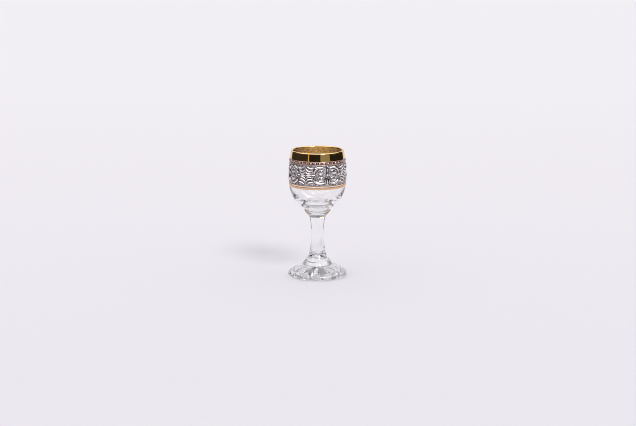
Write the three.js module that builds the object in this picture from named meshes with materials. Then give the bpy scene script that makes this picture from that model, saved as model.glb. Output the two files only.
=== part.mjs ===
// A short-stemmed vodka glass: a pressed foot with a star cut underneath, a waisted stem with a flared
// capital, and a barrel bowl with a gilded rim, a beaded border and a silver scroll frieze.
// Units are millimetres, +Z is up, and the origin is the middle of the ring that the foot stands on.
// The front of the glass faces -Y.
import * as THREE from "three";
import { TessellateModifier } from "three/addons/modifiers/TessellateModifier.js";

// Driving dimensions of the foot
const FOOT_HEIGHT = 19.8;
const FOOT_RADIUS = 23.85;
const FOOT_EDGE_HEIGHT = 1.5; // height of the widest line of the edge
const REST_RING_OUTER = 22.0;
const REST_RING_INNER = 19.8;
const FOOT_SHOULDER_RADIUS = 14.6; // where the shallow top of the disc begins
const FOOT_SHOULDER_HEIGHT = 8.25;
const FOOT_TOP_FALL = 0.28; // fall of the disc's top for each millimetre outwards, at the shoulder
const FLARE_RADIUS = 11.6; // where the conical flare ends and its fillet to the disc begins
const FLARE_HEIGHT = 10.4;
const HOLLOW_LIFT = 0.4; // from the table up to the ring round the star
const HOLLOW_STEP = 1.1; // width of the slope from that ring down to the rest ring
const STAR_RADIUS = 17.0;
const STAR_RISE = 3.0; // height of the middle of the star
const STAR_CUTS = 12;
const CUT_DEPTH = 2.8; // of each V-shaped cut, at its outer end
const CUT_END_WIDTH = 0.3; // of the steep wall that closes a cut
const STAR_TURN_DEGREES = -3.75; // from the front to the nearest cut

// Driving dimensions of the stem
const STEM_HEIGHT = 35.0;
const STEM_FOOT_RADIUS = 6.61; // shared with the top of the foot
const STEM_WAIST_RADIUS = 5.14;
const STEM_WAIST_HEIGHT = 12.3; // above the bottom of the stem
const CAPITAL_HEIGHT = 6.4; // depth of the flared top
const CAPITAL_NECK_RADIUS = 6.67;
const CAPITAL_RADIUS = 10.6;
const CAPITAL_EDGE_DROP = 0.7; // from the weld down to the widest line of the capital

// Driving dimensions of the bowl
const BOWL_HEIGHT = 48.0; // from the weld to the top of the glass lip
const BOWL_WELD_RADIUS = 9.0;
const BOWL_RADIUS = 22.88;
const BOWL_BELLY_HEIGHT = 23.8; // height of the widest line above the weld
const RIM_RADIUS = 21.18;
const RIM_WALL = 1.4;
const BELLY_WALL = 1.7;
const BOTTOM_THICKNESS = 3.6; // glass between the weld and the inside of the bowl
const BOWL_START_SLOPE = 0.45; // rise of the outside for each millimetre outwards, at the weld

// Driving dimensions of the fired-on decoration, each width measured down the bowl
const FILM = 0.1;
const FILM_CLEARANCE = 0.05; // between the glass and a film, and between a film and the relief on it
const TRIM_GAP = 0.12; // bare glass between one band and the next
const RIM_BAND_WIDTH = 5.4;
const BEAD_BORDER_WIDTH = 2.85;
const BEAD_COUNT = 40;
const BEAD_RELIEF = 0.2;
const FRIEZE_WIDTH = 16.0;
const THIN_LINE_WIDTH = 0.9;
const LINE_SPACING = 0.48;
const BROAD_LINE_WIDTH = 2.05;

// Driving dimensions of the scroll frieze, drawn flat as on a transfer sheet
const CARTOUCHE_COUNT = 4;
const FIRST_CARTOUCHE_DEGREES = -70; // 20 degrees right of the front
const RELIEF = 0.2;
const FRIEZE_MARGIN = 0.3; // bare ground above and below the ornaments
const BOSS_RADIUS = 1.5;
const BOSS_OFFSET = 5.25; // boss to the middle of its cartouche
const BOSS_RISE = 2.9; // boss to the middle of the frieze
const SCROLL_STRETCH = 1.6; // the back of a scroll is drawn out sideways
const SCROLL_FRONT_STRETCH = 1.2;
const SCROLL_TAIL_WIDTH = 0.8;
const SCROLL_BACK_WIDTH = 2.2;
const SCROLL_TAIL_GAP = 0.4; // between the inner ends of the two scrolls of a pair
const DROP_LENGTH = 5.2;
const DROP_WIDTH = 1.5;
const DROP_TIP_WIDTH = 0.15;
const LEAF_LOBES = 5;
const LEAF_SPREAD_DEGREES = 75; // from the middle lobe to the last one
const LEAF_LOBE_WIDTH = 1.8;
const LEAF_HUB_RADIUS = 0.9;
const LEAF_GAP = 0.3; // from a leaf to its scroll, and to the next leaf

// Fineness of the meshes
const ROUND = 40;
const CURVE_STEPS = 6;
const CUT_FACETS = 4;
const BEAD_FACETS = 3;
const BOSS_CORNERS = 12;
const LONGEST_EDGE = 3; // of a flat ornament, before it is wrapped on the bowl

const stemBase = FOOT_HEIGHT;
const bowlBase = FOOT_HEIGHT + STEM_HEIGHT;

const glassFinish = new THREE.MeshStandardMaterial({
  color: 0xeef2f4, roughness: 0.03, metalness: 0, transparent: true, opacity: 0.35,
});
const goldFinish = new THREE.MeshStandardMaterial({ color: 0xd9a441, roughness: 0.12, metalness: 1 });
const roseGoldFinish = new THREE.MeshStandardMaterial({ color: 0xc99a86, roughness: 0.3, metalness: 1 });
const silverFinish = new THREE.MeshStandardMaterial({ color: 0xb9b7ba, roughness: 0.25, metalness: 1 });
const greyFinish = new THREE.MeshStandardMaterial({ color: 0x8f8c90, roughness: 0.5, metalness: 0.8 });

const point = (radius, height) => new THREE.Vector2(radius, height);

const curve = (start, startHandle, endHandle, end) =>
  new THREE.CubicBezierCurve(start, startHandle, endHandle, end);

const mesh = (name, geometry, finish) => {
  const made = new THREE.Mesh(geometry, finish);
  made.name = name;
  return made;
};

// A profile of (radius, height) points turned about the vertical axis, outside face first, going up.
function turned(profile, segments = ROUND) {
  return new THREE.LatheGeometry(profile, segments).rotateX(Math.PI / 2);
}

// The points of several curves in a row, with each shared end written once.
function along(...curves) {
  return curves.flatMap((part, i) => part.getPoints(CURVE_STEPS).slice(i ? 1 : 0));
}

// Radius of a rising profile at a height, between the two points on either side of it.
function radiusAt(profile, height) {
  const upper = Math.max(1, profile.findIndex((p) => p.y >= height));
  const [low, high] = [profile[upper - 1], profile[upper]];
  return low.x + ((high.x - low.x) * (height - low.y)) / (high.y - low.y);
}

// Moves the points of a turned shape column by column, where each group of facets is one cut or bead.
// Each point is moved by its row and by its share of the way from the edge of the group to its middle.
function patterned(geometry, profileLength, facets, moved) {
  const position = geometry.attributes.position;
  const place = new THREE.Vector3();
  for (let i = 0; i < position.count; i += 1) {
    const column = Math.floor(i / profileLength) % facets;
    if (column === 0) continue;
    place.fromBufferAttribute(position, i);
    moved(place, i % profileLength, 1 - Math.abs((2 * column) / facets - 1));
    position.setXYZ(i, place.x, place.y, place.z);
  }
  return geometry;
}

// Foot: a flare, a shallow disc top and a rounded edge, over a shallow hollow with a star of V-shaped cuts.
function footGeometry() {
  const weld = point(STEM_FOOT_RADIUS, FOOT_HEIGHT);
  const flareEnd = point(FLARE_RADIUS, FLARE_HEIGHT);
  const shoulder = point(FOOT_SHOULDER_RADIUS, FOOT_SHOULDER_HEIGHT);
  const edge = point(FOOT_RADIUS, FOOT_EDGE_HEIGHT);
  const flareRun = FLARE_RADIUS - STEM_FOOT_RADIUS;
  const flareFall = FOOT_HEIGHT - FLARE_HEIGHT;
  const filletRun = FOOT_SHOULDER_RADIUS - FLARE_RADIUS;
  const discRun = (FOOT_RADIUS - FOOT_SHOULDER_RADIUS) * 0.45;
  const cutEnd = 1 - CUT_END_WIDTH / STAR_RADIUS;
  const star = [
    point(0, STAR_RISE),
    point(STAR_RADIUS * cutEnd, THREE.MathUtils.lerp(STAR_RISE, HOLLOW_LIFT, cutEnd)),
  ];
  const roundedEdge = curve(
    point(REST_RING_OUTER, 0),
    point((REST_RING_OUTER + FOOT_RADIUS) / 2, 0),
    point(FOOT_RADIUS, FOOT_EDGE_HEIGHT / 2),
    edge,
  );
  const disc = curve(
    edge,
    point(FOOT_RADIUS, FOOT_EDGE_HEIGHT + (FOOT_SHOULDER_HEIGHT - FOOT_EDGE_HEIGHT) * 0.43),
    point(FOOT_SHOULDER_RADIUS + discRun, FOOT_SHOULDER_HEIGHT - discRun * FOOT_TOP_FALL),
    shoulder,
  );
  const fillet = curve(
    shoulder,
    point(FOOT_SHOULDER_RADIUS - filletRun * 0.67, FOOT_SHOULDER_HEIGHT + filletRun * 0.67 * FOOT_TOP_FALL),
    point(FLARE_RADIUS + filletRun * 0.13, FLARE_HEIGHT - filletRun * 0.3),
    flareEnd,
  );
  const flare = curve(
    flareEnd,
    point(FLARE_RADIUS - flareRun * 0.2, FLARE_HEIGHT + flareFall * 0.21),
    point(STEM_FOOT_RADIUS, FOOT_HEIGHT - flareFall * 0.28),
    weld,
  );
  const profile = [
    ...star,
    point(STAR_RADIUS, HOLLOW_LIFT),
    point(REST_RING_INNER - HOLLOW_STEP, HOLLOW_LIFT),
    point(REST_RING_INNER, 0),
    ...roundedEdge.getPoints(3),
    ...disc.getPoints(CURVE_STEPS).slice(1),
    ...fillet.getPoints(3).slice(1),
    ...flare.getPoints(CURVE_STEPS).slice(1),
    point(0, FOOT_HEIGHT),
  ];
  const solid = turned(profile, STAR_CUTS * CUT_FACETS);
  const cut = patterned(solid, profile.length, CUT_FACETS, (place, row, share) => {
    if (row < star.length) place.z += CUT_DEPTH * share * (star[row].x / STAR_RADIUS);
  });
  return cut.rotateZ(THREE.MathUtils.degToRad(STAR_TURN_DEGREES) + Math.PI / STAR_CUTS);
}

// Stem: waisted, with a flared capital whose top is the seat of the bowl.
function stemGeometry() {
  const neckHeight = STEM_HEIGHT - CAPITAL_HEIGHT;
  const edgeHeight = STEM_HEIGHT - CAPITAL_EDGE_DROP;
  const bottom = point(STEM_FOOT_RADIUS, 0);
  const waist = point(STEM_WAIST_RADIUS, STEM_WAIST_HEIGHT);
  const neck = point(CAPITAL_NECK_RADIUS, neckHeight);
  const edge = point(CAPITAL_RADIUS, edgeHeight);
  const lower = curve(
    bottom,
    point(STEM_FOOT_RADIUS - (STEM_FOOT_RADIUS - STEM_WAIST_RADIUS) * 0.25, STEM_WAIST_HEIGHT * 0.17),
    point(STEM_WAIST_RADIUS, STEM_WAIST_HEIGHT * 0.43),
    waist,
  );
  const upper = curve(
    waist,
    point(STEM_WAIST_RADIUS, STEM_WAIST_HEIGHT + (neckHeight - STEM_WAIST_HEIGHT) * 0.37),
    point(CAPITAL_NECK_RADIUS - (CAPITAL_NECK_RADIUS - STEM_WAIST_RADIUS) * 0.17,
      neckHeight - (neckHeight - STEM_WAIST_HEIGHT) * 0.15),
    neck,
  );
  const capital = curve(
    neck,
    point(CAPITAL_NECK_RADIUS + (CAPITAL_RADIUS - CAPITAL_NECK_RADIUS) * 0.26,
      neckHeight + (edgeHeight - neckHeight) * 0.31),
    point(CAPITAL_RADIUS, edgeHeight - (edgeHeight - neckHeight) * 0.26),
    edge,
  );
  return turned([
    point(0, 0),
    ...along(lower, upper, capital),
    point(CAPITAL_RADIUS - CAPITAL_EDGE_DROP, STEM_HEIGHT),
    point(0, STEM_HEIGHT),
  ]);
}

// The outside of the bowl, from the weld up to the start of the rounded lip.
function bowlOutside() {
  const belly = point(BOWL_RADIUS, BOWL_BELLY_HEIGHT);
  const startRun = (BOWL_RADIUS - BOWL_WELD_RADIUS) * 0.56;
  const rimHeight = BOWL_HEIGHT - RIM_WALL / 2;
  const rimRun = (rimHeight - BOWL_BELLY_HEIGHT) * 0.29;
  const rimDraw = (BOWL_RADIUS - RIM_RADIUS) * 0.8;
  return [
    curve(
      point(BOWL_WELD_RADIUS, 0),
      point(BOWL_WELD_RADIUS + startRun, startRun * BOWL_START_SLOPE),
      point(BOWL_RADIUS, BOWL_BELLY_HEIGHT * 0.45),
      belly,
    ),
    curve(
      belly,
      point(BOWL_RADIUS, BOWL_BELLY_HEIGHT + (rimHeight - BOWL_BELLY_HEIGHT) * 0.29),
      point(RIM_RADIUS + rimDraw, rimHeight - rimRun),
      point(RIM_RADIUS, rimHeight),
    ),
  ];
}

// Finely divided outside of the bowl, for placing what is fired on it.
const outsideOfBowl = bowlOutside().flatMap((part) => part.getPoints(100));

const bowlRadius = (height) => radiusAt(outsideOfBowl, height);

// The half circle of the lip, from its outer side over the top, at a distance from the glass.
function lipArc(lift) {
  const radius = RIM_WALL / 2;
  const arc = new THREE.EllipseCurve(
    RIM_RADIUS - radius, BOWL_HEIGHT - radius, radius + lift, radius + lift, 0, Math.PI);
  return arc.getPoints(4);
}

// Bowl: a barrel with a rounded lip, thicker towards the bottom, welded on a flat disc.
function bowlGeometry() {
  const bellyInside = point(BOWL_RADIUS - BELLY_WALL, BOWL_BELLY_HEIGHT);
  const rimInside = point(RIM_RADIUS - RIM_WALL, BOWL_HEIGHT - RIM_WALL / 2);
  const insideRise = BOWL_BELLY_HEIGHT - BOTTOM_THICKNESS;
  const insideUpper = curve(
    rimInside,
    point(rimInside.x + (bellyInside.x - rimInside.x) * 0.9, rimInside.y - BOWL_HEIGHT * 0.17),
    point(bellyInside.x, BOWL_BELLY_HEIGHT + BOWL_HEIGHT * 0.15),
    bellyInside,
  );
  const insideLower = curve(
    bellyInside,
    point(bellyInside.x, BOWL_BELLY_HEIGHT - insideRise * 0.62),
    point(bellyInside.x * 0.62, BOTTOM_THICKNESS),
    point(0, BOTTOM_THICKNESS),
  );
  const lip = lipArc(0).slice(1, -1);
  return turned([point(0, 0), ...along(...bowlOutside()), ...lip, ...along(insideUpper, insideLower)]);
}

// A band on the outside of the bowl between two heights above the weld, with its two faces in rows.
function bandProfile(bottom, top, outerRows, innerRows = outerRows) {
  const level = (share) => THREE.MathUtils.lerp(bottom, top, share);
  const face = (rows, lift) => Array.from({ length: rows + 1 }, (_, i) =>
    point(bowlRadius(level(i / rows)) + lift, level(i / rows)));
  const outer = face(outerRows, FILM_CLEARANCE + FILM);
  const inner = face(innerRows, FILM_CLEARANCE).reverse();
  return [...outer, ...inner, outer[0]];
}

const filmBand = (bottom, top, rows) => turned(bandProfile(bottom, top, rows));

// Gilding over the lip: half a ring that caps the glass.
function lipGilding() {
  const outer = lipArc(FILM_CLEARANCE + FILM);
  const inner = lipArc(FILM_CLEARANCE).reverse();
  return turned([...outer, ...inner, outer[0]]);
}

// Bead border: a band whose outside swells into a row of beads.
function beadBorder(bottom, top) {
  const rows = 3;
  const profile = bandProfile(bottom, top, rows, 1);
  const band = turned(profile, BEAD_COUNT * BEAD_FACETS);
  return patterned(band, profile.length, BEAD_FACETS, (place, row) => {
    if (row === 0 || row >= rows) return;
    const outwards = 1 + BEAD_RELIEF / Math.hypot(place.x, place.y);
    place.x *= outwards;
    place.y *= outwards;
  });
}

// Heights of the bands above the weld, from the rim down.
const rimBandTop = BOWL_HEIGHT - RIM_WALL / 2 - TRIM_GAP;
const rimBandBottom = rimBandTop - RIM_BAND_WIDTH;
const beadTop = rimBandBottom - TRIM_GAP;
const beadBottom = beadTop - BEAD_BORDER_WIDTH;
const friezeTop = beadBottom - TRIM_GAP;
const friezeBottom = friezeTop - FRIEZE_WIDTH;
const thinLineTop = friezeBottom - TRIM_GAP;
const thinLineBottom = thinLineTop - THIN_LINE_WIDTH;
const broadLineTop = thinLineBottom - LINE_SPACING;
const broadLineBottom = broadLineTop - BROAD_LINE_WIDTH;
const friezeMiddle = (friezeTop + friezeBottom) / 2;

// Sizes of the ornaments that follow from the room on the frieze.
const ornamentRise = FRIEZE_WIDTH / 2 - FRIEZE_MARGIN;
const cartouchePitch = (2 * Math.PI) / CARTOUCHE_COUNT;
const friezeGirth = bowlRadius(friezeMiddle);
const scrollTailRadius = BOSS_RISE - (SCROLL_TAIL_WIDTH + SCROLL_TAIL_GAP) / 2;
const scrollRadius = ornamentRise - BOSS_RISE - SCROLL_BACK_WIDTH / 2;
const scrollReach = BOSS_OFFSET + SCROLL_STRETCH * scrollRadius + SCROLL_BACK_WIDTH / 2;
const leafStart = scrollReach + LEAF_GAP + LEAF_HUB_RADIUS;
const leafReach = (friezeGirth * cartouchePitch) / 2 - leafStart - LEAF_GAP / 2;

// Wraps a flat ornament, drawn across, up and out, on the frieze round a middle angle.
function wrapped(flat, middleAngle) {
  const position = flat.attributes.position;
  const lift = 2 * FILM_CLEARANCE + FILM;
  for (let i = 0; i < position.count; i += 1) {
    const height = friezeMiddle + position.getY(i);
    const angle = middleAngle + position.getX(i) / friezeGirth;
    const radius = bowlRadius(height) + lift + position.getZ(i);
    position.setXYZ(i, radius * Math.cos(angle), radius * Math.sin(angle), height);
  }
  return flat;
}

// A closed flat outline as an ornament of even relief, divided finely enough to bend round the bowl.
function raised(outline) {
  const flat = new THREE.ExtrudeGeometry(new THREE.Shape(outline), { depth: RELIEF, bevelEnabled: false });
  return new TessellateModifier(LONGEST_EDGE, 6).modify(flat);
}

// Outline of a ribbon that follows a line of points, with its own width at each one.
function ribbon(line, widths) {
  const sides = line.map((p, i) => {
    const ahead = line[Math.min(i + 1, line.length - 1)];
    const behind = line[Math.max(i - 1, 0)];
    const across = new THREE.Vector2(behind.y - ahead.y, ahead.x - behind.x).normalize();
    return [-0.5, 0.5].map((half) => p.clone().addScaledVector(across, half * widths[i]));
  });
  return [...sides.map((s) => s[0]), ...sides.map((s) => s[1]).reverse()];
}

// A pair of C-scrolls, one above the other: each opens out round its boss, and their backs are joined.
function scrollOutline(side) {
  const steps = 11;
  const startTurn = -0.5 * Math.PI;
  const fullTurn = 0.5 * Math.PI;
  const endTurn = 1.14 * Math.PI;
  const upper = Array.from({ length: steps }, (_, i) => {
    const turn = THREE.MathUtils.lerp(startTurn, endTurn, i / (steps - 1));
    const opened = Math.min(1, (turn - startTurn) / (fullTurn - startTurn));
    const radius = THREE.MathUtils.lerp(scrollTailRadius, scrollRadius, opened);
    const stretch = Math.cos(turn) > 0 ? SCROLL_FRONT_STRETCH : SCROLL_STRETCH;
    const across = BOSS_OFFSET - stretch * radius * Math.cos(turn);
    return point(side * across, BOSS_RISE + radius * Math.sin(turn));
  });
  const line = [...upper, ...upper.map((p) => point(p.x, -p.y)).reverse()];
  const widths = line.map((_, i) => {
    const share = Math.min(i, line.length - 1 - i) / (steps - 1);
    return THREE.MathUtils.lerp(SCROLL_TAIL_WIDTH, SCROLL_BACK_WIDTH, share);
  });
  return ribbon(line, widths);
}

// A round boss with a domed top, drawn flat.
function boss(side, level) {
  const profile = [
    point(0, 0),
    point(BOSS_RADIUS, 0),
    point(BOSS_RADIUS * 0.75, RELIEF * 0.8),
    point(0, RELIEF * 1.2),
  ];
  return turned(profile, BOSS_CORNERS).translate(side * BOSS_OFFSET, level * BOSS_RISE, 0);
}

// A pointed drop between the two halves of a cartouche.
function dropOutline() {
  const steps = 6;
  const line = Array.from({ length: steps + 1 }, (_, i) => point(0, DROP_LENGTH * (i / steps - 0.5)));
  const widths = line.map((_, i) =>
    Math.max(DROP_TIP_WIDTH, DROP_WIDTH * Math.sin(Math.PI * Math.sqrt(i / steps))));
  return ribbon(line, widths);
}

// A leaf that fans out from the back of a scroll, with pointed lobes that fill the room beside it.
function leafOutline(side) {
  const spread = THREE.MathUtils.degToRad(LEAF_SPREAD_DEGREES);
  const step = (2 * spread) / (LEAF_LOBES - 1);
  const valley = LEAF_HUB_RADIUS * 1.5;
  const at = (angle, reach) => point(side * (leafStart + reach * Math.cos(angle)), reach * Math.sin(angle));
  const outline = [at(Math.PI, LEAF_HUB_RADIUS)];
  for (let lobe = 0; lobe < LEAF_LOBES; lobe += 1) {
    const lean = lobe * step - spread;
    const length = Math.min(leafReach / Math.cos(lean), ornamentRise / Math.abs(Math.sin(lean)));
    const broad = Math.min(LEAF_LOBE_WIDTH / length, step * 0.42);
    outline.push(
      at(lean - step / 2, valley),
      at(lean - broad, length * 0.5),
      at(lean - broad / 3, length * 0.85),
      at(lean, length),
      at(lean + broad / 3, length * 0.85),
      at(lean + broad, length * 0.5),
    );
  }
  outline.push(at(spread + step / 2, valley));
  return outline;
}

// The raised silver of the frieze, cartouche by cartouche.
function friezeOrnaments() {
  const pieces = [];
  const sides = [["left", -1], ["right", 1]];
  const levels = [["upper", 1], ["lower", -1]];
  for (let i = 0; i < CARTOUCHE_COUNT; i += 1) {
    const angle = THREE.MathUtils.degToRad(FIRST_CARTOUCHE_DEGREES) + i * cartouchePitch;
    const add = (name, flat) => pieces.push(mesh(`${name}_${i + 1}`, wrapped(flat, angle), silverFinish));
    for (const [sideName, side] of sides) {
      add(`scroll_${sideName}`, raised(scrollOutline(side)));
      add(`leaf_${sideName}`, raised(leafOutline(side)));
      for (const [levelName, level] of levels) add(`boss_${sideName}_${levelName}`, boss(side, level));
    }
    add("drop", raised(dropOutline()));
  }
  return pieces;
}

const foot = mesh("foot", footGeometry(), glassFinish);

const stem = mesh("stem", stemGeometry(), glassFinish);
stem.position.z = stemBase;

const bowl = new THREE.Group();
bowl.position.z = bowlBase;
bowl.add(
  mesh("bowl", bowlGeometry(), glassFinish),
  mesh("lip_gilding", lipGilding(), goldFinish),
  mesh("gold_rim_band", filmBand(rimBandBottom, rimBandTop, 2), goldFinish),
  mesh("bead_border", beadBorder(beadBottom, beadTop), roseGoldFinish),
  mesh("frieze_ground", filmBand(friezeBottom, friezeTop, 4), greyFinish),
  mesh("thin_gold_line", filmBand(thinLineBottom, thinLineTop, 1), goldFinish),
  mesh("broad_gold_line", filmBand(broadLineBottom, broadLineTop, 1), goldFinish),
  ...friezeOrnaments(),
);

const vodkaGlass = new THREE.Group();
vodkaGlass.name = "vodka_glass";
vodkaGlass.add(foot, stem, bowl);

export default vodkaGlass;
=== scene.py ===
"""The looks of a vodka glass: clear glass, gilded rim, beaded border and silver scroll frieze.

The scene is in metres, in the frame of the solids: +Z up, the front towards -Y, the foot on z = 0.
The sizes of the glass and its ornament are in millimetres, and the studio's angles in degrees.
"""

import math

import bpy
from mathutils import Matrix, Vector


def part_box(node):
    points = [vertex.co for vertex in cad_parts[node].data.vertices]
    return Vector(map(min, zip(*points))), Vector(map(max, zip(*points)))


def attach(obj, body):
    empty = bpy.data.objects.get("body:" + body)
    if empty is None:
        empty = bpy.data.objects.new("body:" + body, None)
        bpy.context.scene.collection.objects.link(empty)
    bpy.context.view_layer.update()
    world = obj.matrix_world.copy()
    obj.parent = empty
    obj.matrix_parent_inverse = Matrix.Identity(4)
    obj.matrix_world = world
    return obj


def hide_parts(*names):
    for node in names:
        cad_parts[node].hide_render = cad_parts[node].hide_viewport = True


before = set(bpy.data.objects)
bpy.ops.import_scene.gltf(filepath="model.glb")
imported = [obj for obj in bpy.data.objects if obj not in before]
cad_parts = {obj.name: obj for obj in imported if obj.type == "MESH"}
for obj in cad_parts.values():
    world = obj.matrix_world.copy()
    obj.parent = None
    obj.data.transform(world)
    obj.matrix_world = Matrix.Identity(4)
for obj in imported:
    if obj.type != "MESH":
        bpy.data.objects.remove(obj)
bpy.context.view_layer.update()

MM = 0.001
AROUND = 192

# Points closer than this, in metres, are welded into one
DOUBLED = 1e-6

# Foot and stem; the weld is where the stem meets the bowl
FOOT_HEIGHT = 19.8
FOOT_RADIUS = 23.85
STEM_HEIGHT = 35.0
WELD = FOOT_HEIGHT + STEM_HEIGHT
STEM_FOOT_RADIUS = 6.61
WAIST = FOOT_HEIGHT + 12.3
WAIST_RADIUS = 5.14
NECK = WELD - 6.4
NECK_RADIUS = 6.67
COLLAR = WELD - 0.7
COLLAR_RADIUS = 10.6

# Their outside from the resting ring to the weld: two handles, the end and the steps of each curve
FOOT_AND_STEM = (
    ((22.9, 0), (FOOT_RADIUS, 0.75), (FOOT_RADIUS, 1.5), 8),
    ((FOOT_RADIUS, 4.4), (18.76, 7.08), (14.6, 8.25), 22),
    ((12.59, 8.81), (11.99, 9.5), (11.6, 10.4), 8),
    ((10.6, 12.37), (STEM_FOOT_RADIUS, 17.17), (STEM_FOOT_RADIUS, FOOT_HEIGHT), 18),
    ((6.24, FOOT_HEIGHT + 2.1), (WAIST_RADIUS, FOOT_HEIGHT + 5.3), (WAIST_RADIUS, WAIST), 14),
    ((WAIST_RADIUS, WAIST + 6.0), (6.41, NECK - 2.45), (NECK_RADIUS, NECK), 16),
    ((7.69, NECK + 1.76), (COLLAR_RADIUS, COLLAR - 1.48), (COLLAR_RADIUS, COLLAR), 12),
    ((COLLAR_RADIUS, COLLAR + 0.4), (10.3, WELD - 0.05), (9.8, WELD), 5),
)

# The underside of the foot: a resting ring, a hollow inside it and a star cut into the hollow
REST_RING_OUTER = 22.0
REST_RING_INNER = 19.8
HOLLOW_LIFT = 0.4
HOLLOW_STEP = 1.1
HOLLOW_EASE = 0.5
STAR_RADIUS = 17.0
STAR_RISE = 3.0
STAR_ROWS = 12
STAR_CUTS = 12
STAR_TURN = math.radians(-3.75)
STAR_SLACK = 0.01
CUT_DEPTH = 2.8
CUT_END_WIDTH = 0.3
CUT_END = STAR_RADIUS - CUT_END_WIDTH

# Bowl; a pull is a handle of its curves, and a run is how far a handle lies from its end
BOWL_HEIGHT = 48.0
BOWL_RADIUS = 22.88
BOWL_START = (9.0, WELD)
BOWL_START_PULL = (16.77, WELD + 3.5)
BELLY = WELD + 23.8
BELLY_PULL = (BOWL_RADIUS, WELD + 10.71)
RIM_RADIUS = 21.18
RIM_WALL = 1.4
RIM = WELD + BOWL_HEIGHT - RIM_WALL / 2
RIM_RUN = (RIM - BELLY) * 0.29
RIM_LEAN = 1.36
RIM_INSIDE = RIM_RADIUS - RIM_WALL
BELLY_WALL = 1.7
BELLY_INSIDE = BOWL_RADIUS - BELLY_WALL
BOTTOM_WALL = 3.6
INSIDE_BOTTOM = WELD + BOTTOM_WALL
INSIDE_LEAN = 0.9
INSIDE_RIM_RUN = 8.16
INSIDE_BELLY_RUN = 7.2
INSIDE_DROP = 0.62
INSIDE_WIDE = 0.62
GLASS_SMOOTH = 12

# Films and the beaded border; the forms are shares of a bead's radius outward, across and up
FILM_LIFT = 0.05
FILM = 0.1
GROUND_LIFT = 2 * FILM_LIFT + FILM
LIP_STEPS = 14
BEAD_COUNT = 40
BEAD_RADIUS = 0.72
BEAD_FORM = (0.7, 1.25, 0.95)
REEL_FORM = (0.6, 0.45, 0.85)
BEAD_SMOOTH = 50
RAIL_HEIGHT = 0.6
RAIL_CROWN = 0.3

# Colours of the frieze, and the heights over its ground between which the relief turns from tarnish
# and painted shade to bright
RECESS = 0.02
RIDGE = 0.3
SILVER_LEVEL = WELD + 36
ROSE_LEVEL = WELD + 40.2
# Painted shade in the seams between the chased leaves of the frieze's ground
SEAM_SHADE = (0.08, 0.07, 0.073)
LEAFLET = (0.62, 0.58, 0.59)
LEAFLET_DULL = (0.58, 0.54, 0.57)
LEAFLET_SCALE = 550.0
CURL_SCALE = 700.0
CURL = (0.002, 0.002, 0.002)

# Table and floor, in metres
TABLE_RADIUS = 0.55
TABLE_LEVEL = -0.00005
FLOOR_RADIUS = 8.0
FLOOR_LEVEL = -0.0003
FLOOR_SIDES = 96
# The floor is painted darker near the camera and lighter towards the back: painted shade and
# painted light
FLOOR_NEAR_SHADED = (0.75, 0.735, 0.755)
FLOOR_FAR_LIT = (0.8, 0.79, 0.795)
FLOOR_NEAR_Y = -0.3
FLOOR_FAR_Y = 1.2

# The room: angles round the glass from the camera's side, positive to the right, and levels as the
# upward part of a direction, from -1 to 1
PAST_BACK = 200
PAST_TOP = 2
PALE = (0.87, 0.85, 0.9)
DARK = (0.02, 0.018, 0.022)
BROWN = (0.034, 0.03, 0.032)
BROWN_TO = -40
STRIPE = (0.8, 0.55, 0.38)
STRIPE_FROM = -39.5
STRIPE_TO = -36
PANEL = (0.3, 0.3, 0.3)
PANEL_FROM = 12.5
PANEL_TO = 53
OVERHEAD = (1.9, 1.85, 1.8)
OVERHEAD_LEVEL = 0.6
METAL_ROOM_TO = 136
ROOM_LEFT = -57
ROOM_RIGHT = 76
HIGH_ROOM_TO = 95
HIGH_ROOM_LEVEL = 0.22
CEILING = (0.3, 0.305, 0.33)
CEILING_LOW_LEVEL = 0.05
CEILING_HIGH_LEVEL = 0.25
SIDE_TOP = (0.38, 0.385, 0.42)
SIDE_TOP_LEVEL = 0.3
FLAG_FROM = 127
BACKDROP_FROM = 134

# Lamp and camera, in metres and degrees; the sensor and the lens are in millimetres
KEY_PLACE = (0.45, -0.85, 0.9)
KEY_WIDTH = 17
KEY_STRENGTH = 1.1
CAMERA_AIM = (0.00044, 0, 0.0511)
CAMERA_DISTANCE = 1.480
CAMERA_RISE = 11.1
CAMERA_SENSOR = 36
CAMERA_LENS = 103.77
CAMERA_CLIP = 0.01


# Drawing


def mix(a, b, share):
    """The value at a share of the way from one to another."""
    return a + (b - a) * share


def bend(start, start_pull, end_pull, end, steps):
    """Points of a curve from one (radius, height) to another by two handles, less the first."""
    line = []
    points = start, start_pull, end_pull, end
    for i in range(1, steps + 1):
        t = i / steps
        weights = (1 - t) ** 3, 3 * (1 - t) ** 2 * t, 3 * (1 - t) * t * t, t**3
        line.append(tuple(sum(w * p[k] for w, p in zip(weights, points)) for k in (0, 1)))
    return line


def bowl_outside(steps):
    """The outside of the bowl from the weld to the start of the rounded lip."""
    belly, rim = (BOWL_RADIUS, BELLY), (RIM_RADIUS, RIM)
    rise_pull = BOWL_RADIUS, BELLY + RIM_RUN
    rim_pull = RIM_RADIUS + RIM_LEAN, RIM - RIM_RUN
    lower = bend(BOWL_START, BOWL_START_PULL, BELLY_PULL, belly, steps)
    upper = bend(belly, rise_pull, rim_pull, rim, steps)
    return [BOWL_START] + lower + upper


OUTSIDE = bowl_outside(steps=160)


def bowl_radius(height):
    """Radius of the bowl's outside at a height, both in millimetres."""
    for (r0, z0), (r1, z1) in zip(OUTSIDE, OUTSIDE[1:]):
        if z0 <= height <= z1:
            return mix(r0, r1, (height - z0) / (z1 - z0))
    return RIM_RADIUS


def lip_arc(lift, steps):
    """The rounded lip from its outer side over the top to its inner side."""
    middle, reach = RIM_RADIUS - RIM_WALL / 2, RIM_WALL / 2 + lift
    turns = [math.pi * i / steps for i in range(steps + 1)]
    return [(middle + reach * math.cos(a), RIM + reach * math.sin(a)) for a in turns]


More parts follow.
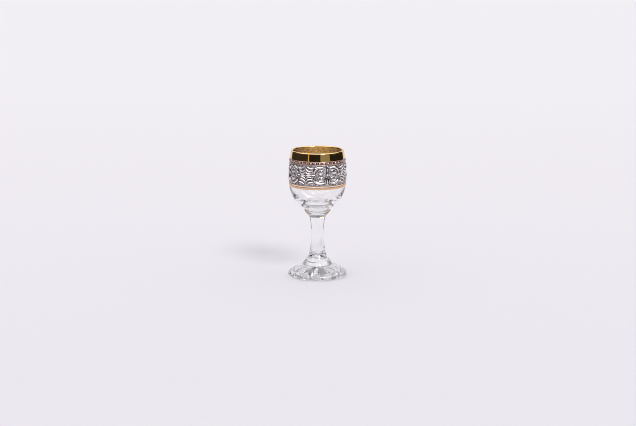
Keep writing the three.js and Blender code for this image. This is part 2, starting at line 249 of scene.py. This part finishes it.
def bowl_inside():
    """The inside of the bowl from the rounded lip down to the middle of its bottom."""
    rim, belly, bottom = (RIM_INSIDE, RIM), (BELLY_INSIDE, BELLY), (0, INSIDE_BOTTOM)
    rim_pull = mix(RIM_INSIDE, BELLY_INSIDE, INSIDE_LEAN), RIM - INSIDE_RIM_RUN
    belly_pull = BELLY_INSIDE, BELLY + INSIDE_BELLY_RUN
    drop_pull = BELLY_INSIDE, BELLY - (BELLY - INSIDE_BOTTOM) * INSIDE_DROP
    wide_pull = BELLY_INSIDE * INSIDE_WIDE, INSIDE_BOTTOM
    upper = bend(rim, rim_pull, belly_pull, belly, steps=24)
    return upper + bend(belly, drop_pull, wide_pull, bottom, steps=34)


def band_profile(bottom, top, rows, crown=0.0):
    """A closed section of a film on the bowl, its outside crowned a little between its edges."""
    outer, inner = [], []
    for i in range(rows + 1):
        share = i / rows
        height = mix(bottom, top, share)
        round_off = crown * math.sin(math.pi * share)
        outer.append((bowl_radius(height) + FILM_LIFT + FILM + round_off, height))
        inner.append((bowl_radius(height) + FILM_LIFT, height))
    return outer + inner[::-1] + outer[:1]


# Handwork


def free_hands():
    """Leaves edit mode with nothing selected."""
    if bpy.context.object and bpy.context.object.mode != "OBJECT":
        bpy.ops.object.mode_set(mode="OBJECT")
    bpy.ops.object.select_all(action="DESELECT")


def take(piece):
    """Takes one piece in hand."""
    free_hands()
    piece.select_set(True)
    bpy.context.view_layer.objects.active = piece


def named(name):
    """Gives the object in hand and its mesh a name, and returns it."""
    piece = bpy.context.object
    piece.name = name
    piece.data.name = name
    return piece


def drawn_line(name, points):
    """A line of edges in the plane of X and Z, drawn by extruding a point from place to place."""
    free_hands()
    bpy.ops.mesh.primitive_plane_add(size=MM)
    piece = named(name)
    bpy.ops.object.mode_set(mode="EDIT")
    bpy.ops.mesh.merge(type="CENTER")
    at = Vector((0, 0, 0))
    for i, (across, height) in enumerate(points):
        place = Vector((across * MM, 0, height * MM))
        if i == 0:
            bpy.ops.transform.translate(value=place)
        else:
            bpy.ops.mesh.extrude_region_move(TRANSFORM_OT_translate={"value": place - at})
        at = place
    return piece


def close_up():
    """Welds the points of the piece in edit mode, turns its faces outward and leaves edit mode."""
    bpy.ops.mesh.select_all(action="SELECT")
    bpy.ops.mesh.remove_doubles(threshold=DOUBLED)
    bpy.ops.mesh.normals_make_consistent(inside=False)
    bpy.ops.object.mode_set(mode="OBJECT")


def turned(name, points):
    """A profile of (radius, height) points spun about the axis of the glass, and closed."""
    piece = drawn_line(name, points)
    bpy.ops.mesh.select_all(action="SELECT")
    bpy.ops.mesh.spin(steps=AROUND, angle=2 * math.pi, center=(0, 0, 0), axis=(0, 0, 1))
    close_up()
    return piece


def smooth(piece, angle=40):
    """Shades a piece smooth, apart from edges sharper than an angle."""
    take(piece)
    bpy.ops.object.shade_smooth_by_angle(angle=math.radians(angle))
    return piece


def joined(pieces, name):
    """Several pieces made one, under a name of its own."""
    take(pieces[0])
    for piece in pieces:
        piece.select_set(True)
    bpy.ops.object.join()
    return named(name)


# Finishes


def add_node(tree, kind, values=None, **settings):
    """A shader node with its settings and the values or links of its inputs."""
    made = tree.nodes.new(kind)
    for key, value in settings.items():
        setattr(made, key, value)
    for key, value in (values or {}).items():
        if isinstance(value, bpy.types.NodeSocket):
            tree.links.new(value, made.inputs[key])
        else:
            made.inputs[key].default_value = value
    return made


def reckon(tree, operation, *values):
    """The result of a Math node."""
    given = dict(enumerate(values))
    return add_node(tree, "ShaderNodeMath", given, operation=operation).outputs["Value"]


def ranged(tree, value, low, high, first=0.0, last=1.0, ease="LINEAR"):
    """A value brought from one range to another, and held at its ends."""
    given = {"Value": value, "From Min": low, "From Max": high, "To Min": first, "To Max": last}
    made = add_node(tree, "ShaderNodeMapRange", given, interpolation_type=ease)
    return made.outputs["Result"]


def blend(tree, share, first, second):
    """A colour between two, each given or linked.

    Sockets of a Mix node share their names: 6 and 7 are its two colours, and 2 is the one it makes.
    """
    made = add_node(tree, "ShaderNodeMix", {0: share}, data_type="RGBA")
    for socket, colour in ((made.inputs[6], first), (made.inputs[7], second)):
        if isinstance(colour, bpy.types.NodeSocket):
            tree.links.new(colour, socket)
        else:
            socket.default_value = (*colour, 1)
    return made.outputs[2]


def finish(name, colour, metallic, roughness):
    """A new material with a Principled shader, its tree, and its object coordinates."""
    material = bpy.data.materials.new(name)
    material.use_nodes = True
    tree = material.node_tree
    shader = tree.nodes["Principled BSDF"]
    shader.inputs["Base Color"].default_value = (*colour, 1)
    shader.inputs["Metallic"].default_value = metallic
    shader.inputs["Roughness"].default_value = roughness
    place = add_node(tree, "ShaderNodeTexCoord").outputs["Object"]
    return material, tree, shader, place


def cloud_group():
    """Soft patches over a surface: a colour between two, a roughness between two, and a height."""
    tree = bpy.data.node_groups.new("soft_patches", "ShaderNodeTree")
    sockets = (
        ("Vector", "INPUT", "NodeSocketVector"),
        ("Scale", "INPUT", "NodeSocketFloat"),
        ("Low Colour", "INPUT", "NodeSocketColor"),
        ("High Colour", "INPUT", "NodeSocketColor"),
        ("Low Roughness", "INPUT", "NodeSocketFloat"),
        ("High Roughness", "INPUT", "NodeSocketFloat"),
        ("Colour", "OUTPUT", "NodeSocketColor"),
        ("Roughness", "OUTPUT", "NodeSocketFloat"),
        ("Height", "OUTPUT", "NodeSocketFloat"),
    )
    for name, way, kind in sockets:
        tree.interface.new_socket(name=name, in_out=way, socket_type=kind)
    given = add_node(tree, "NodeGroupInput").outputs
    noise = add_node(
        tree,
        "ShaderNodeTexNoise",
        {"Vector": given["Vector"], "Scale": given["Scale"], "Detail": 4.0, "Roughness": 0.55},
    ).outputs["Fac"]
    patch = ranged(tree, noise, low=0.35, high=0.65, ease="SMOOTHSTEP")
    colour = blend(tree, patch, given["Low Colour"], given["High Colour"])
    rough = ranged(tree, patch, 0.0, 1.0, given["Low Roughness"], given["High Roughness"])
    add_node(tree, "NodeGroupOutput", {"Colour": colour, "Roughness": rough, "Height": noise})
    return tree


SOFT_PATCHES = cloud_group()


def patches(tree, place, scale, low, high, low_rough, high_rough):
    """Soft patches at a place: their colour, roughness and height."""
    given = {
        "Vector": place,
        "Scale": scale,
        "Low Colour": (*low, 1),
        "High Colour": (*high, 1),
        "Low Roughness": low_rough,
        "High Roughness": high_rough,
    }
    return add_node(tree, "ShaderNodeGroup", given, node_tree=SOFT_PATCHES).outputs


def cover(tree, shader, seen, strength, distance, colour=None, height=None):
    """Links soft patches to a shader, or a colour or a height that is given in place of theirs."""
    given = {"Strength": strength, "Distance": distance, "Height": height or seen["Height"]}
    relief = add_node(tree, "ShaderNodeBump", given).outputs["Normal"]
    tree.links.new(colour or seen["Colour"], shader.inputs["Base Color"])
    tree.links.new(seen["Roughness"], shader.inputs["Roughness"])
    tree.links.new(relief, shader.inputs["Normal"])


def metal(name, low, high, low_rough, high_rough, scale, bump):
    """A fired metal film: its colour and gloss drift in soft patches, over a faint unevenness."""
    material, tree, shader, place = finish(name, high, metallic=1.0, roughness=high_rough)
    seen = patches(tree, place, scale, low, high, low_rough, high_rough)
    cover(tree, shader, seen, strength=bump, distance=0.0002)
    return material


def clear_glass():
    """Colourless pressed glass: fire-polished, faintly wavy, and open to the light of lamps."""
    material, tree, shader, place = finish("clear_glass", (1, 1, 1), metallic=0.0, roughness=0.0)
    shader.inputs["Transmission Weight"].default_value = 1.0
    shader.inputs["IOR"].default_value = 1.51
    seen = patches(
        tree,
        place,
        scale=60.0,
        low=(0.985, 0.99, 0.99),
        high=(1, 1, 1),
        low_rough=0.0,
        high_rough=0.012,
    )
    cover(tree, shader, seen, strength=0.02, distance=0.0005)
    shadow = add_node(tree, "ShaderNodeLightPath").outputs["Is Shadow Ray"]
    open_to_light = add_node(tree, "ShaderNodeBsdfTransparent", {"Color": (0.96, 0.95, 0.97, 1)})
    given = {0: shadow, 1: shader.outputs["BSDF"], 2: open_to_light.outputs["BSDF"]}
    both = add_node(tree, "ShaderNodeMixShader", given).outputs["Shader"]
    tree.links.new(both, tree.nodes["Material Output"].inputs["Surface"])
    return material


def polished(name, tarnish_and_shade, low, high, low_rough, high_rough, scale, level):
    """Metal in relief: bright on its ridges, and dark near the ground with painted shade and
    tarnish no cloth reaches.

    The ground follows the outside of the bowl, which draws in with the square of the height over
    its belly; level is the height at which the two agree.
    """
    material, tree, shader, place = finish(name, high, metallic=1.0, roughness=high_rough)
    seen = patches(tree, place, scale, low, high, low_rough, high_rough)
    x, y, z = add_node(tree, "ShaderNodeSeparateXYZ", {0: place}).outputs
    flat = add_node(tree, "ShaderNodeCombineXYZ", {0: x, 1: y}).outputs["Vector"]
    out = add_node(tree, "ShaderNodeVectorMath", {0: flat}, operation="LENGTH").outputs["Value"]
    over = reckon(tree, "SUBTRACT", z, BELLY * MM)
    square = reckon(tree, "MULTIPLY", over, over)
    draw_in = (BOWL_RADIUS - bowl_radius(level)) / (level - BELLY) ** 2 / MM
    raised = reckon(tree, "MULTIPLY_ADD", square, draw_in, out)
    ground = (BOWL_RADIUS + GROUND_LIFT) * MM
    # Tarnish and painted shade near the ground, turning bright towards the ridges
    ridge = ranged(tree, raised, ground + RECESS * MM, ground + RIDGE * MM, ease="SMOOTHSTEP")
    colour = blend(tree, ridge, tarnish_and_shade, seen["Colour"])
    cover(tree, shader, seen, strength=0.15, distance=0.0002, colour=colour)
    return material


def chased_silver():
    """The ground of the frieze: dull silver chased with small curling leaves, with painted shade
    between them.
    """
    material, tree, shader, place = finish("dull_silver", LEAFLET, metallic=0.4, roughness=0.35)
    seen = patches(
        tree,
        place,
        scale=300.0,
        low=LEAFLET_DULL,
        high=LEAFLET,
        low_rough=0.25,
        high_rough=0.4,
    )
    given = {"Vector": place, "Scale": CURL_SCALE, "Detail": 1.0}
    curl = add_node(tree, "ShaderNodeTexNoise", given).outputs["Color"]
    given = {0: curl, 1: CURL, 2: place}
    warp = add_node(tree, "ShaderNodeVectorMath", given, operation="MULTIPLY_ADD").outputs["Vector"]
    given = {"Vector": warp, "Scale": LEAFLET_SCALE}
    leaves = add_node(tree, "ShaderNodeTexVoronoi", given, feature="DISTANCE_TO_EDGE")
    dome = ranged(tree, leaves.outputs["Distance"], low=0.02, high=0.2, ease="SMOOTHSTEP")
    # Painted shade in the seams between the leaves
    colour = blend(tree, dome, SEAM_SHADE, seen["Colour"])
    cover(tree, shader, seen, strength=0.6, distance=0.0003, colour=colour, height=dome)
    return material


GLASS = clear_glass()
GOLD = metal(
    "bright_gold",
    low=(0.87, 0.56, 0.19),
    high=(0.94, 0.65, 0.25),
    low_rough=0.05,
    high_rough=0.1,
    scale=90.0,
    bump=0.04,
)
GOLD_BEHIND = metal(
    "gold_behind_glass",
    low=(0.78, 0.39, 0.08),
    high=(1.0, 0.66, 0.19),
    low_rough=0.2,
    high_rough=0.35,
    scale=600.0,
    bump=0.8,
)
SILVER_BEHIND = metal(
    "silver_behind_glass",
    low=(0.38, 0.36, 0.365),
    high=(0.52, 0.495, 0.505),
    low_rough=0.25,
    high_rough=0.4,
    scale=500.0,
    bump=0.4,
)
COPPER_GOLD = metal(
    "copper_gold",
    low=(0.74, 0.45, 0.25),
    high=(0.84, 0.56, 0.36),
    low_rough=0.16,
    high_rough=0.26,
    scale=300.0,
    bump=0.1,
)
# The relief is dark near the frieze ground: tarnish and painted shade
SILVER = polished(
    "silver_relief",
    tarnish_and_shade=(0.04, 0.034, 0.035),
    low=(0.86, 0.81, 0.82),
    high=(0.98, 0.94, 0.94),
    low_rough=0.12,
    high_rough=0.22,
    scale=500.0,
    level=SILVER_LEVEL,
)
DULL_SILVER = chased_silver()
# The beads and rails are dark near their band: tarnish and painted shade
ROSE_GOLD = polished(
    "rose_gold",
    tarnish_and_shade=(0.3, 0.19, 0.16),
    low=(0.78, 0.53, 0.43),
    high=(0.92, 0.72, 0.64),
    low_rough=0.15,
    high_rough=0.28,
    scale=400.0,
    level=ROSE_LEVEL,
)


def dressed(piece, material, slot, *nodes):
    """Hands over a finished piece: its material, its body and the solids it replaces; slot is not
    used.
    """
    piece.data.materials.clear()
    piece.data.materials.append(material)
    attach(piece, "root")
    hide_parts(*nodes)
    return piece


# The glass itself


def cut_star(piece):
    """Cuts the star into the hollow under the foot; each cut is V-shaped and deepens outwards."""
    for vertex in piece.data.vertices:
        radius = math.hypot(vertex.co.x, vertex.co.y) / MM
        if radius < CUT_END + STAR_SLACK and vertex.co.z < (STAR_RISE + STAR_SLACK) * MM:
            angle = math.atan2(vertex.co.x, -vertex.co.y) - STAR_TURN
            turn = angle * STAR_CUTS / (2 * math.pi)
            off = abs(turn - round(turn)) * 2
            vertex.co.z += CUT_DEPTH * MM * radius / STAR_RADIUS * (1 - off)


def glass_body():
    """Foot, stem and bowl as they are fused: one skin of glass with nothing inside it."""
    line = [(0, STAR_RISE)]
    for row in range(1, STAR_ROWS + 1):
        radius = CUT_END * row / STAR_ROWS
        line.append((radius, mix(STAR_RISE, HOLLOW_LIFT, radius / STAR_RADIUS)))
    slope = REST_RING_INNER - HOLLOW_STEP
    ease = slope + HOLLOW_EASE
    line += [(STAR_RADIUS, HOLLOW_LIFT), (slope, HOLLOW_LIFT)]
    line += bend(line[-1], (ease, HOLLOW_LIFT), (ease, 0), (REST_RING_INNER, 0), steps=6)
    line.append((REST_RING_OUTER, 0))
    for start_pull, end_pull, end, steps in FOOT_AND_STEM:
        line += bend(line[-1], start_pull, end_pull, end, steps)
    line += bowl_outside(steps=34)
    line += lip_arc(lift=0, steps=12)[1:]
    line += bowl_inside()
    piece = turned("glass_body", line)
    cut_star(piece)
    return smooth(piece, GLASS_SMOOTH)


dressed(glass_body(), GLASS, "clear_glass", "bowl", "stem", "foot")


# Gilding and bands


def heights_of(node):
    """The lowest and highest point of a solid, in millimetres."""
    low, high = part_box(node)
    return low[2] / MM, high[2] / MM


def ring(node, material, slot, rows, crown):
    """A film round the bowl, as high as its solid."""
    bottom, top = heights_of(node)
    piece = turned(node + "_film", band_profile(bottom, top, rows, crown))
    return dressed(smooth(piece), material, slot, node)


def backed(piece, material):
    """Gives the faces that lie against the glass a finish of their own."""
    piece.data.materials.append(material)
    for face in piece.data.polygons:
        if face.normal.x * face.center.x + face.normal.y * face.center.y < 0:
            face.material_index = 1


def lip_gilding():
    """A film over the rounded lip."""
    outer = lip_arc(FILM_LIFT + FILM, LIP_STEPS)
    inner = lip_arc(FILM_LIFT, LIP_STEPS)
    return turned("lip_gold", outer + inner[::-1] + outer[:1])


dressed(smooth(lip_gilding()), GOLD, "gilding", "lip_gilding")
backed(ring("gold_rim_band", GOLD, "gilding", rows=14, crown=0.02), GOLD_BEHIND)
ring("thin_gold_line", COPPER_GOLD, "gilding", rows=6, crown=0.08)
ring("broad_gold_line", COPPER_GOLD, "gilding", rows=8, crown=0.08)
backed(ring("frieze_ground", DULL_SILVER, "silver_ground", rows=24, crown=0.0), SILVER_BEHIND)


def bead_border():
    """A row of beads with a small reel between each two, between two rails, all on one band."""
    bottom, top = heights_of("bead_border")
    middle = (bottom + top) / 2
    pieces = [turned("bead_band", band_profile(bottom, top, rows=6))]
    for low in (bottom, top - RAIL_HEIGHT):
        rail = band_profile(low, low + RAIL_HEIGHT, rows=5, crown=RAIL_CROWN)
        pieces.append(turned("bead_rail", rail))
    radius = bowl_radius(middle) + FILM_LIFT + FILM
    for i in range(2 * BEAD_COUNT):
        free_hands()
        bpy.ops.mesh.primitive_uv_sphere_add(segments=14, ring_count=8, radius=BEAD_RADIUS * MM)
        bead = bpy.context.object
        bpy.ops.object.mode_set(mode="EDIT")
        bpy.ops.transform.resize(value=REEL_FORM if i % 2 else BEAD_FORM)
        bpy.ops.object.mode_set(mode="OBJECT")
        angle = math.pi * (i + 1) / BEAD_COUNT
        for vertex in bead.data.vertices:
            across, out = vertex.co.y / MM / radius, radius + vertex.co.x / MM
            vertex.co.x = out * MM * math.cos(angle + across)
            vertex.co.y = out * MM * math.sin(angle + across)
            vertex.co.z += middle * MM
        pieces.append(bead)
    return joined(pieces, "bead_row")


dressed(smooth(bead_border(), BEAD_SMOOTH), ROSE_GOLD, "rose_gold", "bead_border")


# The scroll frieze, each ornament modelled flat and laid round the bowl like a transfer

FRIEZE_MIDDLE = sum(heights_of("frieze_ground")) / 2
GIRTH = bowl_radius(FRIEZE_MIDDLE)
CARTOUCHES = 4
FIRST_CARTOUCHE = math.radians(-70)
PITCH = 2 * math.pi / CARTOUCHES
HALF_PITCH = GIRTH * PITCH / 2
ORNAMENT_SMOOTH = 60

# Relief; blunt, round, taper and flat are powers that shape a width or a rise, and the ends of a
# rib and the parts of a boss are shares of its own width and height
BED = -0.14
RELIEF = 0.6
RIB_FOOT = 0.35
RIB_ALONG = 44
RIB_ACROSS = 15
RIB_BLUNT = 0.45
RIB_ROUND = 0.8
RIB_TAPER = 0.5
RIB_END_WIDTH = 0.02
RIB_END_RISE = 0.05
RIB_NEXT = 0.01
BOSS_OFFSET = 5.25
BOSS_RISE = 2.9
BOSS_WIDE = 2.7
BOSS_TALL = 2.05
BOSS_STEPS = 30
DOME_REACH = 0.66
DOME_RISE = 0.5
DOME_FLAT = 6
RING_RISE = 0.6
RING_ROUND = 0.8
SCROLL_REACH = (5.2, 3.55)
SCROLL_FROM = 130
SCROLL_TO = -42
SCROLL_WIDTH = 2.1
SCROLL_BLUNT = 0.7

# Strokes: start and end, across and up from the middle of a cartouche, the sag as a share of the
# length, and the width
LEAF_TIP = HALF_PITCH - 0.1
BUD = ((9.6, -0.1), (13.2, 0.1), 0.05, 1.2)
MIDDLE_LOBE = ((13.3, 0), (LEAF_TIP, 0), 0, 1.5)
SIDE_LOBES = (
    ((12.9, 1.7), (LEAF_TIP, 2.9), -0.2, 1.6),
    ((12.4, 3.4), (LEAF_TIP, 5.6), -0.2, 1.6),
    ((10.8, 5.7), (LEAF_TIP - 0.9, 7.3), -0.14, 1.4),
)
DROPS = (
    ((0, -6.6), (0, -1.2), 0, 1.3),
    ((0, -0.6), (0, 3.4), 0, 1.5),
    ((0, 3.8), (0, 7.4), 0, 1.3),
)
DROP_LEAVES = (
    ((1.5, 3.7), (2.0, 7.2), 0.1, 0.9),
    ((1.9, -6.8), (1.9, -1.4), 0.05, 0.8),
)


def strip(along, across, place):
    """A flat sheet raised into relief.

    place(share along, -1 to 1 across) gives the (across, up) of a point and its height.
    """
    free_hands()
    bpy.ops.mesh.primitive_grid_add(x_subdivisions=along, y_subdivisions=across, size=2)
    piece = bpy.context.object
    bpy.ops.object.mode_set(mode="EDIT")
    bpy.ops.mesh.select_all(action="SELECT")
    bpy.ops.mesh.extrude_region_move(TRANSFORM_OT_translate={"value": (0, 0, 1)})
    bpy.ops.object.mode_set(mode="OBJECT")
    for vertex in piece.data.vertices:
        (u, v), height = place((vertex.co.x + 1) / 2, vertex.co.y)
        raised = vertex.co.z > 0.5
        vertex.co = (u * MM, v * MM, (height if raised else BED) * MM)
    return piece


def laid(piece, angle):
    """Lays a flat ornament round the bowl, on the ground of the frieze."""
    for vertex in piece.data.vertices:
        height = FRIEZE_MIDDLE + vertex.co.y / MM
        turn = angle + vertex.co.x / MM / GIRTH
        radius = bowl_radius(height) + GROUND_LIFT + vertex.co.z / MM
        vertex.co = (radius * MM * math.cos(turn), radius * MM * math.sin(turn), height * MM)
    take(piece)
    bpy.ops.object.mode_set(mode="EDIT")
    close_up()
    return piece


def arc(middle, reach, start, end):
    """A line round a boss, between two angles counted from the outward side of the cartouche."""

    def line(share):
        turn = math.radians(mix(start, end, share))
        return middle[0] + reach[0] * math.cos(turn), middle[1] + reach[1] * math.sin(turn)

    return line


def sweep(start, end, sag):
    """A line from one place to another that sags to one side by a share of its length."""
    across, up = end[0] - start[0], end[1] - start[1]

    def line(share):
        off = 4 * sag * share * (1 - share)
        return start[0] + across * share - up * off, start[1] + up * share + across * off

    return line


def rib(side, line, width, blunt=RIB_BLUNT):
    """A rounded rib along a line, pointed at both ends, with a flat foot on either side of it."""

    def swell(share, end):
        return math.sin(math.pi * mix(end, 1 - end, share))

    def place(share, across):
        (ua, va), (ub, vb) = line(max(0, share - RIB_NEXT)), line(min(1, share + RIB_NEXT))
        length = math.hypot(ub - ua, vb - va)
        half = (width / 2 + RIB_FOOT) * swell(share, RIB_END_WIDTH) ** blunt
        u, v = line(share)
        u -= (vb - va) / length * across * half
        v += (ub - ua) / length * across * half
        core = min(1, abs(across) * (1 + 2 * RIB_FOOT / width))
        rise = math.cos(math.pi / 2 * core) ** RIB_ROUND
        return (side * u, v), RELIEF * rise * swell(share, RIB_END_RISE) ** RIB_TAPER

    return strip(RIB_ALONG, RIB_ACROSS, place)


def stroke(side, start, end, sag, width, way=1, level=1):
    """A rib along a sagging line, as it is drawn or turned over sideways or upside down."""
    places = [(way * across, level * up) for across, up in (start, end)]
    return rib(side, sweep(*places, way * level * sag), width)


def scroll(side):
    """C-scrolls round the outward sides of two bosses: a broad crescent each, and a bud between."""
    pieces = [stroke(side, *BUD)]
    for level in (1, -1):
        middle = BOSS_OFFSET, level * BOSS_RISE
        line = arc(middle, SCROLL_REACH, level * SCROLL_FROM, level * SCROLL_TO)
        pieces.append(rib(side, line, SCROLL_WIDTH, SCROLL_BLUNT))
    return joined(pieces, "scroll")


def leaf(side):
    """A leaf behind the scrolls, whose lobes curl up and down and meet those of the next leaf."""
    pieces = [stroke(side, *MIDDLE_LOBE)]
    for level in (1, -1):
        pieces += [stroke(side, *lobe, level=level) for lobe in SIDE_LOBES]
    return joined(pieces, "leaf")


def boss(side, level):
    """An oval boss: a low dome in a ring, drawn by rounding a square sheet."""

    def place(share, across):
        along = 2 * share - 1
        u = along * math.sqrt(1 - across * across / 2)
        v = across * math.sqrt(1 - along * along / 2)
        far = math.hypot(u, v)
        if far < DOME_REACH:
            rise = DOME_RISE * (1 - (far / DOME_REACH) ** DOME_FLAT)
        else:
            over = max(0, 1 - far) / (1 - DOME_REACH)
            rise = RING_RISE * math.sin(math.pi * over) ** RING_ROUND
        spot = side * BOSS_OFFSET + u * BOSS_WIDE, level * BOSS_RISE + v * BOSS_TALL
        return spot, RELIEF * rise

    return strip(BOSS_STEPS, BOSS_STEPS, place)


def drop():
    """Three pointed drops between the halves of a cartouche, with leaves beside two of them."""
    pieces = [stroke(1, *line) for line in DROPS]
    for way in (-1, 1):
        pieces += [stroke(1, *line, way=way) for line in DROP_LEAVES]
    return joined(pieces, "drop")


def ornament(piece, name, angle):
    """Lays an ornament round the bowl and hands it over."""
    smooth(laid(piece, angle), ORNAMENT_SMOOTH)
    dressed(named(name + "_relief"), SILVER, "silver_relief", name)


for number in range(1, CARTOUCHES + 1):
    middle = FIRST_CARTOUCHE + (number - 1) * PITCH
    for side_name, side in (("left", -1), ("right", 1)):
        ornament(scroll(side), f"scroll_{side_name}_{number}", middle)
        ornament(leaf(side), f"leaf_{side_name}_{number}", middle)
        for level_name, level in (("upper", 1), ("lower", -1)):
            ornament(boss(side, level), f"boss_{side_name}_{level_name}_{number}", middle)
    ornament(drop(), f"drop_{number}", middle)


# The studio


def disc(name, radius, height, material):
    """A flat round surface for the glass to stand on."""
    free_hands()
    bpy.ops.mesh.primitive_circle_add(
        vertices=FLOOR_SIDES, radius=radius, fill_type="NGON", location=(0, 0, height)
    )
    surface = named(name)
    surface.data.materials.append(material)
    return surface


def pale_floor():
    """A white table, on a floor of its colour that shines in no metal and shows in no glass."""
    material, tree, shader, place = finish("pale_floor", FLOOR_FAR_LIT, metallic=0.0, roughness=0.8)
    shader.inputs["Specular IOR Level"].default_value = 0.2
    seen = patches(
        tree,
        place,
        scale=1.5,
        low=FLOOR_FAR_LIT,
        high=FLOOR_FAR_LIT,
        low_rough=0.75,
        high_rough=0.85,
    )
    # Painted shade towards the camera, painted light towards the back
    y = add_node(tree, "ShaderNodeSeparateXYZ", {0: place}).outputs["Y"]
    far = ranged(tree, y, FLOOR_NEAR_Y, FLOOR_FAR_Y)
    tree.links.new(blend(tree, far, FLOOR_NEAR_SHADED, seen["Colour"]), shader.inputs["Base Color"])
    tree.links.new(seen["Roughness"], shader.inputs["Roughness"])
    disc("table", TABLE_RADIUS, TABLE_LEVEL, material)
    floor = disc("floor", FLOOR_RADIUS, FLOOR_LEVEL, material)
    floor.visible_glossy = False
    floor.visible_transmission = False


def window(tree, value, low, high, soft):
    """1 where a value lies between two limits, with soft edges."""
    up = ranged(tree, value, low - soft, low + soft)
    down = ranged(tree, value, high - soft, high + soft, first=1.0, last=0.0)
    return reckon(tree, "MULTIPLY", up, down)


def studio_world():
    """A pale room to look at and to be lit by.

    Glass and metal see how it is set up: a dark room behind the camera with two lit openings and a
    lamp overhead, white screens at the sides, narrow black screens, and a backdrop that darkens
    upwards.
    """
    world = bpy.data.worlds.new("studio")
    bpy.context.scene.world = world
    world.use_nodes = True
    tree = world.node_tree
    tree.nodes.clear()
    way = add_node(tree, "ShaderNodeTexCoord").outputs["Generated"]
    x, y, z = add_node(tree, "ShaderNodeSeparateXYZ", {0: way}).outputs
    turn = reckon(tree, "ARCTAN2", x, reckon(tree, "MULTIPLY", y, -1.0))
    away = reckon(tree, "ABSOLUTE", turn)

    def between(value, low, high, soft):
        return window(tree, value, math.radians(low), math.radians(high), math.radians(soft))

    def over(level, soft):
        return window(tree, z, level, PAST_TOP, soft)

    # The dark room
    room = blend(tree, between(turn, -PAST_BACK, BROWN_TO, soft=1), DARK, BROWN)
    room = blend(tree, between(turn, PANEL_FROM, PANEL_TO, soft=1.5), room, PANEL)
    room = blend(tree, between(turn, STRIPE_FROM, STRIPE_TO, soft=0.7), room, STRIPE)

    # What shows through the glass
    darkening = ranged(tree, z, CEILING_LOW_LEVEL, CEILING_HIGH_LEVEL)
    backdrop = blend(tree, darkening, PALE, CEILING)
    sides = blend(tree, over(SIDE_TOP_LEVEL, soft=0.08), PALE, SIDE_TOP)
    through = blend(tree, between(away, BACKDROP_FROM, PAST_BACK, soft=2), sides, backdrop)
    through = blend(tree, between(away, FLAG_FROM, BACKDROP_FROM, soft=2), through, DARK)
    wide = between(away, -PAST_BACK, HIGH_ROOM_TO, soft=4)
    high_room = reckon(tree, "MULTIPLY", wide, over(HIGH_ROOM_LEVEL, soft=0.03))
    through = blend(tree, high_room, through, room)
    through = blend(tree, between(turn, ROOM_LEFT, ROOM_RIGHT, soft=3), through, room)

    # What shines in metal and on glass
    mirrored = blend(tree, over(OVERHEAD_LEVEL, soft=0.03), room, OVERHEAD)
    mirrored = blend(tree, between(away, METAL_ROOM_TO, PAST_BACK, soft=2), mirrored, PALE)

    # Rays through glass count as glossy too, so they come last
    path = add_node(tree, "ShaderNodeLightPath").outputs
    seen = blend(tree, path["Is Glossy Ray"], PALE, mirrored)
    seen = blend(tree, path["Is Transmission Ray"], seen, through)
    sky = add_node(tree, "ShaderNodeBackground", {"Color": seen, "Strength": 1.0})
    add_node(tree, "ShaderNodeOutputWorld", {"Surface": sky.outputs["Background"]})


def key_light():
    """A round soft light, far enough away to light the whole floor evenly."""
    free_hands()
    bpy.ops.object.light_add(type="SUN", location=KEY_PLACE)
    light = bpy.context.object
    light.name = "key_light"
    light.data.energy = KEY_STRENGTH
    light.data.angle = math.radians(KEY_WIDTH)
    light.rotation_euler = (-Vector(KEY_PLACE)).to_track_quat("-Z", "Y").to_euler()


def camera():
    """The camera of the photo, in front of the glass and a little above it."""
    rise = math.radians(CAMERA_RISE)
    aim = Vector(CAMERA_AIM)
    free_hands()
    bpy.ops.object.camera_add()
    eye = bpy.context.object
    eye.location = aim + CAMERA_DISTANCE * Vector((0, -math.cos(rise), math.sin(rise)))
    eye.rotation_euler = (aim - eye.location).to_track_quat("-Z", "Y").to_euler()
    eye.data.sensor_width = CAMERA_SENSOR
    eye.data.lens = CAMERA_LENS
    eye.data.clip_start = CAMERA_CLIP
    bpy.context.scene.camera = eye


pale_floor()
studio_world()
key_light()
camera()
bpy.context.scene.view_settings.view_transform = "Standard"
bpy.context.scene.cycles.filter_width = 1.0

# Light caught in the walls of the glass turns many times before it leaves them
bpy.context.scene.cycles.max_bounces = 40
bpy.context.scene.cycles.glossy_bounces = 32
bpy.context.scene.cycles.transmission_bounces = 32
